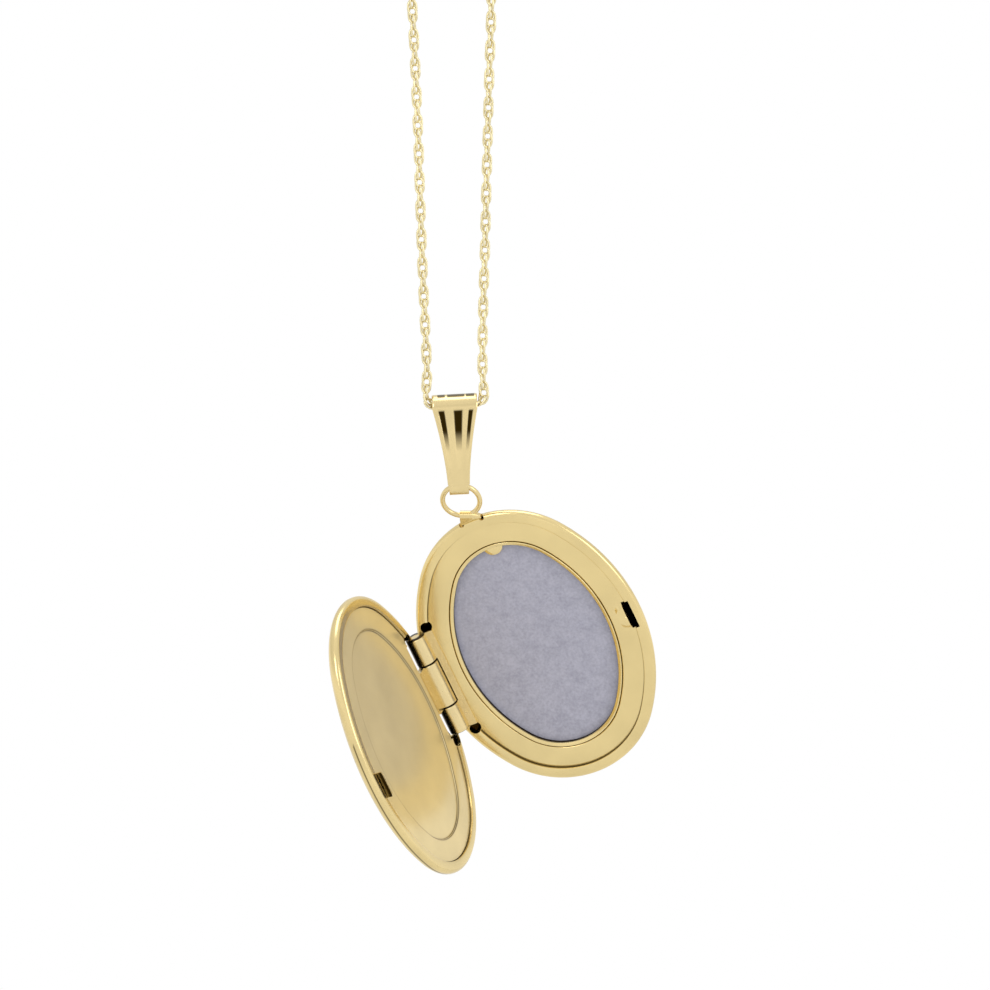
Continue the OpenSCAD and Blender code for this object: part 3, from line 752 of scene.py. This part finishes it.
stations = []
for i in range(37):
    a = math.radians(-math.degrees(SLOPE) + (180 + 2 * math.degrees(SLOPE)) * i / 36)
    stations.append(((TUNNEL_R * math.cos(a), TUNNEL_R * math.sin(a)), (math.cos(a), math.sin(a))))
fold = []
for i in range(21):
    a = math.radians(180 + math.degrees(SLOPE) + (180 - 2 * math.degrees(SLOPE)) * i / 20)
    fold.append(((FOLD_R * math.cos(a), FOLD_Z + FOLD_R * math.sin(a)), (math.cos(a), math.sin(a))))


def leg(p, q, n):
    """The straight run between two stations of the strap."""
    return [((p[0][0] + (q[0][0] - p[0][0]) * i / n, p[0][1] + (q[0][1] - p[0][1]) * i / n), p[1])
            for i in range(1, n)]


loop = stations + leg(stations[-1], fold[0], 40) + fold + leg(fold[-1], stations[0], 40)
ACROSS = 60
verts, shades = [], []
for (py, pz), (ny, nz) in loop:
    w = bail_half(pz)
    front = ny > 0
    for k in range(ACROSS + 1):
        u = 2 * k / ACROSS - 1
        h = BAIL_SHEET - flute(u, pz) - 0.05 * max(0, (abs(u) - 0.93) / 0.07) ** 2
        # The loop is drawn with +Y as its first coordinate; the viewer's side is -Y.
        verts.append(BAIL @ Vector((w * u, -(py + ny * h), pz + nz * h)))
        shades.append(bail_shade(u, pz, front))
    for u in (1, -1):
        verts.append(BAIL @ Vector((w * u, -py, pz)))
        shades.append(0.0)
row = ACROSS + 3
faces = []
for k in range(len(loop)):
    faces += band(k * row, (k + 1) % len(loop) * row, row)
bail = build("fluted_bail", verts, faces, bail_gold, 50)
darken(bail, shades)
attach(bail, "bail")
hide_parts("bail")

# ---------- carried-over CAD nodes ----------

finish = {
    "catch_nib": shell_gold, "rear_hinge_leaf": hinge_gold, "hinge_pin": hinge_gold,
    "cover_hinge_leaf": hinge_gold, "ring_tab": shell_gold, "hanging_ring": clasp_gold,
    "end_link_lower": chain_gold, "end_ring": clasp_gold, "clasp_ring": clasp_gold,
    "clasp_eye": clasp_gold, "clasp_lever": clasp_gold, "clasp_spring": spring_steel,
    "clasp_jump_ring": clasp_gold, "end_link_upper": chain_gold,
}
for name, material in finish.items():
    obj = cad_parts[name]
    for s in obj.material_slots:
        s.material = material
    shade(obj.data, 35)

# ---------- light and stage ----------

def card_light(name, where, aim, size, power):
    """A white rectangular light, size in metres and power in watts."""
    data = bpy.data.lights.new(name, "AREA")
    data.shape = "RECTANGLE"
    data.size, data.size_y, data.energy = size[0], size[1], power
    obj = bpy.data.objects.new(name, data)
    bpy.context.collection.objects.link(obj)
    obj.location = where
    obj.rotation_euler = (Vector(aim) - Vector(where)).to_track_quat("-Z", "Y").to_euler()


TARGET = (0.003, 0.0, -0.075)
card_light("key_soft", (-0.25, -0.45, 0.25), TARGET, (0.25, 0.25), 0.45)
card_light("fill_soft", (0.4, -0.3, 0.1), TARGET, (0.2, 0.3), 0.35)
card_light("top_soft", (0.0, 0.05, 0.4), TARGET, (0.3, 0.3), 0.5)

world = bpy.data.worlds.new("studio")
bpy.context.scene.world = world
world.use_nodes = True
t = world.node_tree
co = t.nodes.new("ShaderNodeTexCoord")
sep = t.nodes.new("ShaderNodeSeparateXYZ")
ramp = t.nodes.new("ShaderNodeValToRGB")
mr = t.nodes.new("ShaderNodeMapRange")
mr.inputs["From Min"].default_value = -1
t.links.new(co.outputs["Generated"], sep.inputs[0])
t.links.new(sep.outputs["Z"], mr.inputs["Value"])
t.links.new(mr.outputs["Result"], ramp.inputs["Fac"])
t.links.new(ramp.outputs["Color"], t.nodes["Background"].inputs["Color"])
e = ramp.color_ramp.elements
e[0].position, e[0].color = 0.25, (0.55, 0.54, 0.52, 1)
e[1].position, e[1].color = 0.47, (1, 1, 1, 1)
for pos, c in ((0.55, (1, 1, 1, 1)), (0.7, (0.8, 0.8, 0.8, 1)), (1.0, (1, 1, 1, 1))):
    el = e.new(pos)
    el.color = c
t.nodes["Background"].inputs["Strength"].default_value = 1.0


def stage_plane(name, corners, material):
    mesh = bpy.data.meshes.new(name)
    mesh.from_pydata(corners, [], [(0, 1, 2, 3)])
    obj = bpy.data.objects.new(name, mesh)
    bpy.context.collection.objects.link(obj)
    mesh.materials.append(material)


paper = plain("pale_floor", (0.8, 0.8, 0.79), 0.7)
FZ = -0.12
stage_plane("floor", [(-0.3, -0.3, FZ), (0.3, -0.3, FZ), (0.3, 0.3, FZ), (-0.3, 0.3, FZ)], paper)

bpy.context.scene.view_settings.view_transform = "Standard"
